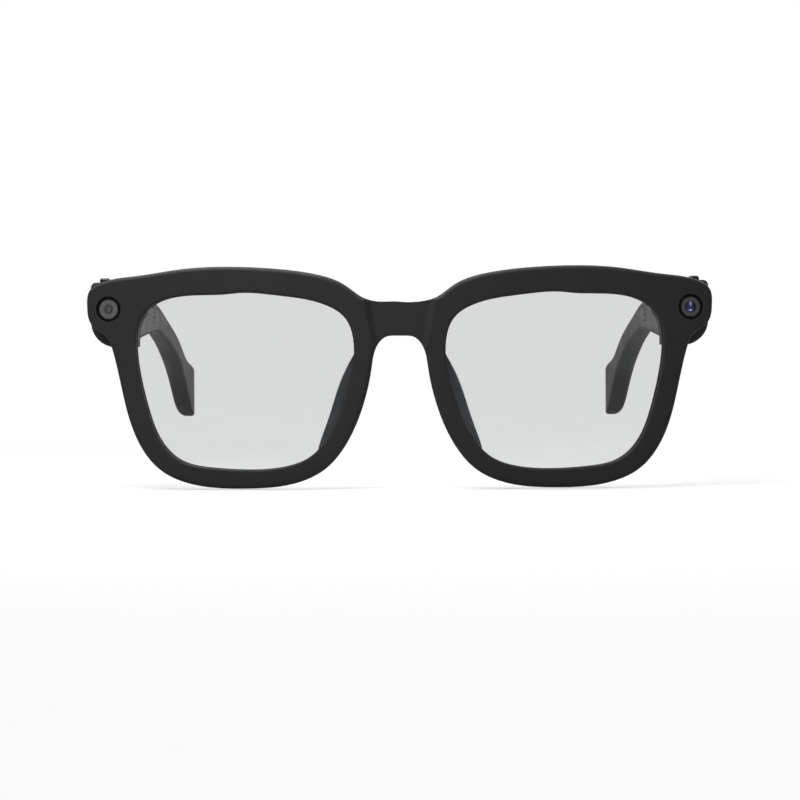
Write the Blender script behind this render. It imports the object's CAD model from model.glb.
import math

import bmesh
import bpy
from mathutils import Matrix, Vector


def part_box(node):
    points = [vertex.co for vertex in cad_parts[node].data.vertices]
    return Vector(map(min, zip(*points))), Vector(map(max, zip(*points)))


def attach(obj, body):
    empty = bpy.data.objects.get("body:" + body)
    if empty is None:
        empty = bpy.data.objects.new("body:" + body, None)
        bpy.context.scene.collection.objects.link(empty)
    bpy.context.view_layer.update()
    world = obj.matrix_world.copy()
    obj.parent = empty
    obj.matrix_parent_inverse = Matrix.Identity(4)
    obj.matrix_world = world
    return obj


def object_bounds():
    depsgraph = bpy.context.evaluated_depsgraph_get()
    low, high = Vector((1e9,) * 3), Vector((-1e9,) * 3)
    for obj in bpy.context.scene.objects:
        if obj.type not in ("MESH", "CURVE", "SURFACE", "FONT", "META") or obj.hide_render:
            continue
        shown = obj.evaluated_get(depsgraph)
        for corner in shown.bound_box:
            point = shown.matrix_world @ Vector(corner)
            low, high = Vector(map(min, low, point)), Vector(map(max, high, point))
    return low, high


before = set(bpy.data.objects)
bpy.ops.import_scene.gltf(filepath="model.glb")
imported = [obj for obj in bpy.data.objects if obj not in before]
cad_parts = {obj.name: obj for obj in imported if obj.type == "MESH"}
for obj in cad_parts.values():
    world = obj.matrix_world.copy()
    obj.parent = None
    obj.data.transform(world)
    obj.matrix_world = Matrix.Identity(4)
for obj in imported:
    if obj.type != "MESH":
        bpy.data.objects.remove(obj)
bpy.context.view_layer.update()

MM = 0.001

BEVEL_SAMPLES = 6

# Camera: level, in front of the middle of the glasses.
CAMERA_PLACE = Vector((0.0, -0.6328, 0.02093))
CAMERA_LENS = 106.5
SENSOR_WIDTH = 36.0
CAMERA_ROLL = math.radians(-0.26)

# Studio: a bright backdrop behind the object and dimmer surroundings in front of it.
BACKDROP = 1.0
SURROUND = 0.06
FLOOR_SIZE = 30.0
FLOOR_FADE = (0.1, 0.7)  # metres from the middle over which the floor fades into the backdrop
FLOOR_BOUNCE = 0.4  # how pale the floor is as a source of light
FLOOR_DROP = 0.2 * MM  # gap under the glasses
# Each light: (name, place, point it faces, size, watts).
SOFTBOXES = (
    ("top_light", (-0.2, 0.1, 1.3), (0, 0, 0.02), (1.4, 1.1), 13.5),
    ("near_light", (-0.07, -0.17, 0.24), (0, -0.06, 0.03), (0.24, 0.14), 0.6),
    ("back_fill", (0.55, 0.7, 0.5), (-0.05, 0.03, 0.03), (0.5, 0.4), 4.0),
)

# The two round windows lie in the curved front and are turned away from straight ahead with it.
WINDOW_OUT = 69.8 * MM  # from the mid-plane
FRONT_RADIUS = 350.0 * MM
WINDOW_TILT = math.asin(WINDOW_OUT / FRONT_RADIUS)
# Radii of the clear openings in their printed glass, and how softly the print ends.
CAMERA_OPENING = 1.3 * MM
LIGHT_OPENING = 0.4 * MM
PRINT_FADE = 0.06 * MM

BLUE_GLINT = (0.62, 0.62, 1.0, 1.0)
BLUE_BLOOM = (0.30, 0.30, 0.75, 1.0)
WHITE_GLINT = (1.0, 1.0, 1.0, 1.0)

# The camera's front lens element.
ELEMENT_RADIUS = 1.25 * MM
ELEMENT_RISE = 0.3 * MM
ELEMENT_SKIRT = 0.1 * MM
ELEMENT_FORWARD = 0.95 * MM  # in front of the middle of the barrel
ELEMENT_ARC_STEPS = 10
TURNED_STEPS = 64


# ---------------------------------------------------------------- shader helpers

def add(tree, kind, values=None, **settings):
    """A shader node. A value that is a socket is linked, any other value is set."""
    made = tree.nodes.new("ShaderNode" + kind)
    for key, value in settings.items():
        setattr(made, key, value)
    for key, value in (values or {}).items():
        if isinstance(value, bpy.types.NodeSocket):
            tree.links.new(value, made.inputs[key])
        else:
            made.inputs[key].default_value = value
    return made


def new_material(name):
    material = bpy.data.materials.new(name)
    material.use_nodes = True
    material.node_tree.nodes.clear()
    return material, material.node_tree


def output(tree, shader):
    add(tree, "OutputMaterial", {"Surface": shader})


def place(tree, stretch=(1, 1, 1)):
    """Object coordinates in metres, stretched for patterns that run in one direction."""
    coordinates = add(tree, "TexCoord").outputs["Object"]
    return add(tree, "Mapping", {"Vector": coordinates, "Scale": stretch}).outputs["Vector"]


def noise(tree, scale, detail=2.0, stretch=(1, 1, 1), rough=0.5):
    values = {"Vector": place(tree, stretch), "Scale": scale, "Detail": detail, "Roughness": rough}
    return add(tree, "TexNoise", values).outputs["Fac"]


def spread(tree, value, low, high, start=0.0, end=1.0):
    """A value from start..end, spread over low..high."""
    values = {"Value": value, "From Min": start, "From Max": end, "To Min": low, "To Max": high}
    return add(tree, "MapRange", values).outputs["Result"]


def calc(tree, operation, a, b=0.0):
    return add(tree, "Math", {0: a, 1: b}, operation=operation).outputs[0]


def blend_colour(tree, factor, a, b):
    """Colour a where factor is 0, colour b where it is 1."""
    made = add(tree, "Mix", data_type="RGBA")
    sockets = {0: factor, 6: a, 7: b}  # the Mix node's sockets for colours
    for index, value in sockets.items():
        if isinstance(value, bpy.types.NodeSocket):
            tree.links.new(value, made.inputs[index])
        else:
            made.inputs[index].default_value = value
    return made.outputs[2]


def grey(level, tint=(1.0, 1.0, 1.0)):
    return (level * tint[0], level * tint[1], level * tint[2], 1.0)


def bump(tree, height, depth, normal=None, strength=1.0):
    values = {"Height": height, "Distance": depth, "Strength": strength}
    if normal is not None:
        values["Normal"] = normal
    return add(tree, "Bump", values).outputs["Normal"]


def soft_edges(tree, radius):
    """(the normal with its edges rounded, how far it is turned there: 0 on flats, 1 on edges)."""
    rounded = add(tree, "Bevel", {"Radius": radius}, samples=BEVEL_SAMPLES).outputs["Normal"]
    true_normal = add(tree, "NewGeometry").outputs["Normal"]
    match = add(tree, "VectorMath", {0: rounded, 1: true_normal}, operation="DOT_PRODUCT")
    edge = spread(tree, match.outputs["Value"], 1.0, 0.0, 0.72, 0.995)
    return rounded, edge


def distance_from(tree, centre, axis):
    """Distance in metres from the line through centre along axis."""
    here = add(tree, "TexCoord").outputs["Object"]
    offset = add(tree, "VectorMath", {0: here, 1: centre}, operation="SUBTRACT").outputs[0]
    across = add(tree, "VectorMath", {0: offset, 1: axis}, operation="CROSS_PRODUCT").outputs[0]
    return add(tree, "VectorMath", {0: across}, operation="LENGTH").outputs["Value"]


def ring(tree, distance, radius, width):
    """1 at radius, falling to 0 at width to either side of it."""
    away = calc(tree, "ABSOLUTE", calc(tree, "SUBTRACT", distance, radius))
    return spread(tree, away, 1.0, 0.0, 0.0, width)


# ---------------------------------------------------------------- materials

def moulded(name, level, roughness, grain, tint=(1.0, 1.0, 1.04), edge=0.25 * MM, wear=0.5, coat=0.0):
    """Moulded plastic: a fine textured skin, handling marks, and edges polished by use."""
    material, tree = new_material(name)
    rounded, edges = soft_edges(tree, edge)
    skin = noise(tree, 4200, 3.0, rough=0.6)
    handled = noise(tree, 55, 3.0)
    smudges = noise(tree, 260, 4.0, rough=0.65)
    worn = calc(tree, "MULTIPLY", edges, spread(tree, smudges, 0.35, 1.0, 0.35, 0.65))
    worn = calc(tree, "MULTIPLY", worn, wear)
    base = blend_colour(tree, handled, grey(level * 0.86, tint), grey(level * 1.14, tint))
    base = blend_colour(tree, worn, base, grey(level * 1.9, tint))
    rough = spread(tree, smudges, roughness - 0.07, roughness + 0.07, 0.3, 0.7)
    rough = calc(tree, "SUBTRACT", rough, calc(tree, "MULTIPLY", worn, 0.16))
    waves = bump(tree, handled, 0.02 * MM, rounded, 0.5)
    shader = add(tree, "BsdfPrincipled", {
        "Base Color": base,
        "Roughness": rough,
        "Specular IOR Level": 0.32,
        "Coat Weight": coat,
        "Coat Roughness": 0.22,
        "Normal": bump(tree, skin, grain, waves),
    })
    output(tree, shader.outputs[0])
    return material


def metal(name, colour, roughness, stretch, edge=0.08 * MM):
    """Machined or brushed metal: fine lines along one direction, with small scratches."""
    material, tree = new_material(name)
    rounded, edges = soft_edges(tree, edge)
    lines = noise(tree, 900, 3.0, stretch)
    scratches = noise(tree, 2600, 2.0, (stretch[1], stretch[2], stretch[0]))
    stains = noise(tree, 400, 4.0)
    dark = tuple(channel * 0.72 for channel in colour[:3]) + (1.0,)
    light = tuple(min(1.0, channel * 1.5) for channel in colour[:3]) + (1.0,)
    base = blend_colour(tree, stains, dark, colour)
    base = blend_colour(tree, calc(tree, "MULTIPLY", edges, 0.6), base, light)
    height = calc(tree, "ADD", lines, calc(tree, "MULTIPLY", scratches, 0.4))
    shader = add(tree, "BsdfPrincipled", {
        "Base Color": base,
        "Metallic": 1.0,
        "Roughness": spread(tree, lines, roughness - 0.08, roughness + 0.1, 0.3, 0.7),
        "Normal": bump(tree, height, 0.006 * MM, rounded),
    })
    output(tree, shader.outputs[0])
    return material


def coated_lens(name, tint):
    """Clear tinted lens: most light passes, the coating reflects a cool sheen with faint smears."""
    material, tree = new_material(name)
    smears = noise(tree, 90, 4.0, (1.0, 1.0, 2.2), 0.6)
    dust = noise(tree, 1500, 2.0)
    clear = add(tree, "BsdfTransparent", {"Color": tint}).outputs[0]
    sheen = blend_colour(tree, smears, (0.62, 0.78, 0.86, 1.0), (0.80, 0.84, 0.90, 1.0))
    gloss = add(tree, "BsdfGlossy", {
        "Color": sheen,
        "Roughness": spread(tree, smears, 0.015, 0.09, 0.3, 0.75),
        "Normal": bump(tree, dust, 0.0006 * MM),
    }).outputs[0]
    facing = add(tree, "Fresnel", {"IOR": 1.5}).outputs[0]
    facing = calc(tree, "MULTIPLY", facing, 0.75)
    clean = add(tree, "MixShader", {0: facing, 1: clear, 2: gloss}).outputs[0]
    haze = add(tree, "BsdfDiffuse", {"Color": grey(0.75)}).outputs[0]
    hazy = spread(tree, smears, 0.004, 0.016, 0.35, 0.75)
    output(tree, add(tree, "MixShader", {0: hazy, 1: clean, 2: haze}).outputs[0])
    return material


def oval_spot(tree, centre, away, middle, tall, wide):
    """1 inside a soft oval that lies middle above centre, 0 outside it."""
    here = add(tree, "TexCoord").outputs["Object"]
    above = calc(tree, "SUBTRACT", add(tree, "SeparateXYZ", {0: here}).outputs["Z"], centre.z)
    squared = calc(tree, "MULTIPLY", away, away)
    side = calc(tree, "SUBTRACT", squared, calc(tree, "MULTIPLY", above, above))
    up = calc(tree, "DIVIDE", calc(tree, "SUBTRACT", above, middle), tall)
    across = calc(tree, "DIVIDE", side, wide * wide)
    reach = calc(tree, "ADD", calc(tree, "MULTIPLY", up, up), across)
    return spread(tree, reach, 1.0, 0.0, 0.15, 1.6)


def window(name, centre, axis, mask, opening, radius, rings, glints):
    """Round cover glass: printed dark behind, with a clear opening and soft reflections in it.

    rings are (radius, width, grey level) of the print. glints are (height above the middle, half
    height, half width, colour, strength) of the reflections.
    """
    material, tree = new_material(name)
    away = distance_from(tree, centre, axis)
    speckle = noise(tree, 1800, 3.0)
    printed = blend_colour(tree, speckle, grey(mask * 0.85), grey(mask * 1.12))
    for ring_radius, width, level in rings:
        printed = blend_colour(tree, ring(tree, away, ring_radius, width), printed, grey(level))
    back = add(tree, "BsdfPrincipled", {
        "Base Color": printed,
        "Roughness": spread(tree, speckle, 0.3, 0.42, 0.3, 0.7),
        "Coat Weight": 1.0,
        "Coat Roughness": 0.04,
        "Normal": bump(tree, speckle, 0.002 * MM),
    }).outputs[0]
    clear = add(tree, "BsdfTransparent", {"Color": grey(opening)}).outputs[0]
    gloss = add(tree, "BsdfGlossy", {"Color": grey(0.8), "Roughness": 0.03}).outputs[0]
    facing = add(tree, "Fresnel", {"IOR": 1.5}).outputs[0]
    glass = add(tree, "MixShader", {0: facing, 1: clear, 2: gloss}).outputs[0]
    masked = spread(tree, away, 0.0, 1.0, radius - PRINT_FADE, radius + PRINT_FADE)
    shader = add(tree, "MixShader", {0: masked, 1: glass, 2: back}).outputs[0]
    for middle, tall, wide, colour, strength in glints:
        glow = add(tree, "Emission", {"Color": colour, "Strength": strength}).outputs[0]
        spot = oval_spot(tree, centre, away, middle, tall, wide)
        shader = add(tree, "MixShader", {0: spot, 1: shader, 2: glow}).outputs[0]
    output(tree, shader)
    return material


def circuit_board(name):
    """Solder mask over copper tracks, with small tinned pads."""
    material, tree = new_material(name)
    tracks = add(tree, "TexBrick", {
        "Vector": place(tree),
        "Scale": 900.0,
        "Mortar Size": 0.03,
        "Color1": grey(0.0),
        "Color2": grey(0.25),
        "Mortar": grey(1.0),
    }).outputs["Color"]
    cells = add(tree, "TexVoronoi", {"Vector": place(tree), "Scale": 1100.0}).outputs["Distance"]
    pads = spread(tree, cells, 1.0, 0.0, 0.16, 0.22)
    mottle = noise(tree, 700, 3.0)
    mask = blend_colour(tree, mottle, (0.008, 0.055, 0.028, 1.0), (0.014, 0.085, 0.04, 1.0))
    mask = blend_colour(tree, calc(tree, "MULTIPLY", tracks, 0.35), mask, (0.03, 0.16, 0.07, 1.0))
    base = blend_colour(tree, pads, mask, (0.62, 0.6, 0.56, 1.0))
    height = calc(tree, "ADD", tracks, pads)
    shader = add(tree, "BsdfPrincipled", {
        "Base Color": base,
        "Metallic": calc(tree, "MULTIPLY", pads, 0.9),
        "Roughness": spread(tree, mottle, 0.28, 0.45, 0.3, 0.7),
        "Normal": bump(tree, height, 0.03 * MM),
    })
    output(tree, shader.outputs[0])
    return material


def flexible_circuit(name):
    """Amber film with parallel copper tracks showing through it."""
    material, tree = new_material(name)
    tracks = add(tree, "TexWave", {
        "Vector": place(tree, (0.0, 0.0, 1.0)),
        "Scale": 800.0,
        "Distortion": 0.0,
    }, bands_direction="Z").outputs["Fac"]
    tracks = spread(tree, tracks, 0.0, 1.0, 0.55, 0.7)
    creases = noise(tree, 500, 3.0)
    base = blend_colour(tree, tracks, (0.30, 0.11, 0.015, 1.0), (0.52, 0.22, 0.05, 1.0))
    base = blend_colour(tree, calc(tree, "MULTIPLY", creases, 0.3), base, (0.16, 0.06, 0.01, 1.0))
    shader = add(tree, "BsdfPrincipled", {
        "Base Color": base,
        "Roughness": spread(tree, creases, 0.22, 0.4, 0.3, 0.7),
        "Coat Weight": 0.5,
        "Normal": bump(tree, tracks, 0.02 * MM, bump(tree, creases, 0.03 * MM)),
    })
    output(tree, shader.outputs[0])
    return material


def battery_foil(name):
    """Foil pouch: dull aluminium with soft crinkles."""
    material, tree = new_material(name)
    crinkles = noise(tree, 320, 5.0, rough=0.7)
    grain = noise(tree, 3000, 2.0)
    base = blend_colour(tree, crinkles, grey(0.48), grey(0.66))
    shader = add(tree, "BsdfPrincipled", {
        "Base Color": base,
        "Metallic": 0.9,
        "Roughness": spread(tree, grain, 0.32, 0.48, 0.3, 0.7),
        "Normal": bump(tree, crinkles, 0.12 * MM),
    })
    output(tree, shader.outputs[0])
    return material


def speaker_grille(name):
    """Woven acoustic mesh: fine crossing threads with open holes between them."""
    material, tree = new_material(name)
    threads = []
    for stretch, bands in (((0.0, 1.0, 0.0), "Y"), ((0.0, 0.0, 1.0), "Z")):
        wave = add(tree, "TexWave", {
            "Vector": place(tree, stretch),
            "Scale": 1200.0,
            "Distortion": 0.0,
        }, bands_direction=bands).outputs["Fac"]
        threads.append(wave)
    weave = calc(tree, "MAXIMUM", threads[0], threads[1])
    holes = spread(tree, weave, 1.0, 0.0, 0.3, 0.55)
    lint = noise(tree, 900, 3.0)
    base = blend_colour(tree, lint, grey(0.035), grey(0.055))
    base = blend_colour(tree, holes, base, grey(0.012))
    shader = add(tree, "BsdfPrincipled", {
        "Base Color": base,
        "Metallic": 0.4,
        "Roughness": spread(tree, lint, 0.4, 0.6, 0.3, 0.7),
        "Normal": bump(tree, weave, 0.05 * MM),
    })
    output(tree, shader.outputs[0])
    return material


def light_guide(name):
    """Clear moulded light pipe with a frosted end."""
    material, tree = new_material(name)
    frost = noise(tree, 5000, 3.0)
    base = blend_colour(tree, frost, grey(0.62), grey(0.8))
    shader = add(tree, "BsdfPrincipled", {
        "Base Color": base,
        "Roughness": spread(tree, frost, 0.3, 0.55, 0.3, 0.7),
        "Subsurface Weight": 0.15,
        "Subsurface Scale": 0.5 * MM,
        "Normal": bump(tree, frost, 0.01 * MM),
    })
    output(tree, shader.outputs[0])
    return material


def camera_glass(name, centre, axis):
    """Front element of the camera: polished, with a deep blue coating that darkens to its rim."""
    material, tree = new_material(name)
    away = distance_from(tree, centre, axis)
    bloom = spread(tree, away, 1.0, 0.0, 0.2 * MM, 1.3 * MM)
    dust = noise(tree, 2500, 2.0)
    base = blend_colour(tree, bloom, (0.006, 0.008, 0.014, 1.0), (0.035, 0.035, 0.11, 1.0))
    shader = add(tree, "BsdfPrincipled", {
        "Base Color": base,
        "Roughness": spread(tree, dust, 0.04, 0.1, 0.3, 0.7),
        "Coat Weight": 1.0,
        "Coat Tint": (0.7, 0.75, 1.0, 1.0),
        "Normal": bump(tree, dust, 0.001 * MM),
    })
    output(tree, shader.outputs[0])
    return material


# ---------------------------------------------------------------- dressing the CAD nodes

def window_line(node):
    """(middle of a round window, direction it faces)."""
    low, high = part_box(node)
    side = 1.0 if low.x > 0 else -1.0
    facing = Vector((side * math.sin(WINDOW_TILT), -math.cos(WINDOW_TILT), 0.0))
    return (low + high) / 2, facing


def dress(material, *nodes):
    """Gives CAD nodes one material."""
    for node in nodes:
        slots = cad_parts[node].data.materials
        slots.clear()
        slots.append(material)


def sides(*names):
    """The left and right node of each name."""
    return [name + "_" + side for name in names for side in ("left", "right")]


camera_centre, camera_axis = window_line("camera_window")
light_centre, light_axis = window_line("light_window")

frame_plastic = moulded("frame_plastic", 0.019, 0.58, 0.012 * MM, wear=0.2)
temple_plastic = moulded("temple_plastic", 0.034, 0.47, 0.012 * MM, edge=1.0 * MM, wear=0.15)
liner_plastic = moulded("liner_plastic", 0.03, 0.42, 0.008 * MM, edge=0.12 * MM)
pad_plastic = moulded("pad_plastic", 0.2, 0.34, 0.005 * MM, wear=0.7)
button_plastic = moulded("button_plastic", 0.02, 0.3, 0.004 * MM, wear=0.9, coat=0.3, edge=0.2 * MM)
speaker_plastic = moulded("speaker_plastic", 0.04, 0.5, 0.01 * MM)
black_anodised = metal("black_anodised", grey(0.02), 0.4, (1, 1, 1))
hinge_steel = metal("hinge_steel", grey(0.3), 0.34, (1, 1, 9))
screw_steel = metal("screw_steel", grey(0.5), 0.28, (5, 5, 1))
core_steel = metal("core_steel", grey(0.5), 0.3, (6, 1, 6))
gold_contact = metal("gold_contact", (0.8, 0.55, 0.22, 1.0), 0.26, (1, 1, 6))
lens_glass = coated_lens("tinted_lens", grey(0.862, (0.995, 1.0, 1.0)))
camera_cover = window(
    "camera_cover_glass", camera_centre, camera_axis, 0.075, 0.9, CAMERA_OPENING,
    rings=((1.4 * MM, 0.12 * MM, 0.02), (2.3 * MM, 0.1 * MM, 0.05)),
    glints=(
        (0.0, 1.5 * MM, 0.85 * MM, BLUE_BLOOM, 0.1),
        (0.72 * MM, 0.5 * MM, 0.2 * MM, BLUE_GLINT, 0.5),
        (-0.8 * MM, 0.2 * MM, 0.35 * MM, BLUE_GLINT, 0.6),
    ))
light_cover = window(
    "light_cover_glass", light_centre, light_axis, 0.115, 0.9, LIGHT_OPENING,
    rings=((0.85 * MM, 0.5 * MM, 0.02), (2.3 * MM, 0.2 * MM, 0.05)),
    glints=((0.0, 0.32 * MM, 0.32 * MM, WHITE_GLINT, 0.09),))
board = circuit_board("circuit_board")
flex = flexible_circuit("flexible_circuit")

dress(frame_plastic, "front_frame", "brow_cover", *sides("end_cover"))
dress(temple_plastic, *sides("temple_shell"))
dress(liner_plastic, *sides("temple_liner"))
dress(pad_plastic, *sides("nose_pad"))
dress(button_plastic, "power_button", "capture_button")
dress(speaker_plastic, *sides("speaker"))
dress(black_anodised, "camera_bezel", "light_bezel", "camera_barrel")
dress(hinge_steel, *sides("hinge_front_leaf", "hinge_temple_leaf"))
dress(core_steel, *sides("temple_core"))
dress(screw_steel, "front_leaf_screws", *sides("hinge_screw", "temple_leaf_screws"))
dress(gold_contact, "charging_contacts_right")
dress(lens_glass, *sides("lens"))
dress(camera_cover, "camera_window")
dress(light_cover, "light_window")
dress(light_guide("light_guide"), "light_pipe")
dress(battery_foil("battery_foil"), "battery_left")
dress(speaker_grille("speaker_grille"), *sides("speaker_mesh"))
dress(flex, "front_flex", "touch_sensor_right", *sides("temple_flex"))
dress(board, "light_board", "camera_module", "bridge_microphone", "main_board_right",
      *sides("button_switch", "temple_microphone"))


# ---------------------------------------------------------------- added pieces

def turned(name, profile, centre, axis, material, body):
    """A piece turned about an axis.

    profile is (radius, distance along axis) from the middle outwards.
    """
    mesh = bmesh.new()
    points = [mesh.verts.new((radius, 0.0, along)) for radius, along in profile]
    lines = [mesh.edges.new(pair) for pair in zip(points, points[1:])]
    bmesh.ops.spin(mesh, geom=points + lines, cent=(0, 0, 0), axis=(0, 0, 1),
                   angle=2 * math.pi, steps=TURNED_STEPS, use_merge=True)
    bmesh.ops.remove_doubles(mesh, verts=mesh.verts, dist=1e-6)
    bmesh.ops.recalc_face_normals(mesh, faces=mesh.faces)
    data = bpy.data.meshes.new(name)
    turn = axis.to_track_quat("Z", "Y").to_matrix().to_4x4()
    mesh.transform(Matrix.Translation(centre) @ turn)
    mesh.to_mesh(data)
    mesh.free()
    for polygon in data.polygons:
        polygon.use_smooth = True
    data.materials.append(material)
    piece = bpy.data.objects.new(name, data)
    bpy.context.scene.collection.objects.link(piece)
    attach(piece, body)


def camera_element():
    """Domed front lens of the camera, seated on the barrel behind its cover glass."""
    low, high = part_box("camera_barrel")
    middle = (low + high) / 2
    middle.z = camera_centre.z
    seat = middle + camera_axis * ELEMENT_FORWARD
    angles = [math.pi / 2 * step / ELEMENT_ARC_STEPS for step in range(ELEMENT_ARC_STEPS + 1)]
    profile = [(ELEMENT_RADIUS * math.sin(a), ELEMENT_RISE * math.cos(a)) for a in angles]
    profile += [(ELEMENT_RADIUS, -ELEMENT_SKIRT), (0.0, -ELEMENT_SKIRT)]
    glass = camera_glass("camera_glass", seat, camera_axis)
    turned("camera_lens_element", profile, seat, camera_axis, glass, "front")


camera_element()


# ---------------------------------------------------------------- studio

def backdrop_world():
    """White to the camera; as light, bright behind the object and above, dim in front of it."""
    world = bpy.data.worlds.new("studio")
    bpy.context.scene.world = world
    world.use_nodes = True
    tree = world.node_tree
    tree.nodes.clear()
    direction = add(tree, "TexCoord").outputs["Generated"]
    parts = add(tree, "SeparateXYZ", {0: direction})
    behind = spread(tree, parts.outputs["Y"], SURROUND, BACKDROP, 0.05, 0.75)
    above = spread(tree, parts.outputs["Z"], 0.0, 0.35, 0.1, 1.0)
    level = calc(tree, "MAXIMUM", behind, above)
    seen = add(tree, "LightPath").outputs["Is Camera Ray"]
    strength = add(tree, "Mix", {0: seen, 2: level, 3: BACKDROP}).outputs[0]
    background = add(tree, "Background", {"Color": grey(1.0), "Strength": strength})
    add(tree, "OutputWorld", {"Surface": background.outputs[0]})


def softbox(name, place_at, aim, size, watts):
    """A rectangular lamp that faces the point aim."""
    light = bpy.data.lights.new(name, "AREA")
    light.shape = "RECTANGLE"
    light.size, light.size_y = size
    light.energy = watts
    lamp = bpy.data.objects.new(name, light)
    lamp.location = place_at
    lamp.rotation_euler = (Vector(aim) - Vector(place_at)).to_track_quat("-Z", "Y").to_euler()
    bpy.context.scene.collection.objects.link(lamp)


def studio_floor():
    """Pale paper with a faint shadow, fading into the white backdrop with distance."""
    material, tree = new_material("floor_paper")
    fibres = noise(tree, 350, 4.0)
    base = blend_colour(tree, fibres, grey(0.74), grey(0.78))
    paper = add(tree, "BsdfPrincipled", {
        "Base Color": base,
        "Roughness": 0.9,
        "Specular IOR Level": 0.1,
        "Normal": bump(tree, fibres, 0.02 * MM),
    }).outputs[0]
    here = add(tree, "NewGeometry").outputs["Position"]
    away = add(tree, "VectorMath", {0: here}, operation="LENGTH").outputs["Value"]
    fade = spread(tree, away, 0.4, 1.0, *FLOOR_FADE)
    white = add(tree, "Emission", {"Color": grey(1.0), "Strength": BACKDROP}).outputs[0]
    seen = add(tree, "MixShader", {0: fade, 1: paper, 2: white}).outputs[0]
    dim = add(tree, "BsdfDiffuse", {"Color": grey(FLOOR_BOUNCE)}).outputs[0]
    camera_ray = add(tree, "LightPath").outputs["Is Camera Ray"]
    output(tree, add(tree, "MixShader", {0: camera_ray, 1: dim, 2: seen}).outputs[0])
    mesh = bmesh.new()
    bmesh.ops.create_grid(mesh, x_segments=1, y_segments=1, size=FLOOR_SIZE / 2)
    data = bpy.data.meshes.new("floor")
    mesh.to_mesh(data)
    mesh.free()
    data.materials.append(material)
    floor = bpy.data.objects.new("floor", data)
    floor.location.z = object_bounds()[0].z - FLOOR_DROP
    bpy.context.scene.collection.objects.link(floor)


def studio_camera():
    """A level camera straight in front, with a long lens."""
    data = bpy.data.cameras.new("camera")
    data.lens = CAMERA_LENS
    data.sensor_width = SENSOR_WIDTH
    data.clip_start = 0.01
    data.clip_end = 100.0
    camera = bpy.data.objects.new("camera", data)
    camera.location = CAMERA_PLACE
    camera.rotation_mode = "XYZ"
    camera.rotation_euler = (
        Matrix.Rotation(math.pi / 2, 3, "X") @ Matrix.Rotation(CAMERA_ROLL, 3, "Z")).to_euler()
    bpy.context.scene.collection.objects.link(camera)
    bpy.context.scene.camera = camera


backdrop_world()
for light in SOFTBOXES:
    softbox(*light)
studio_floor()
studio_camera()
bpy.context.scene.view_settings.view_transform = "Standard"
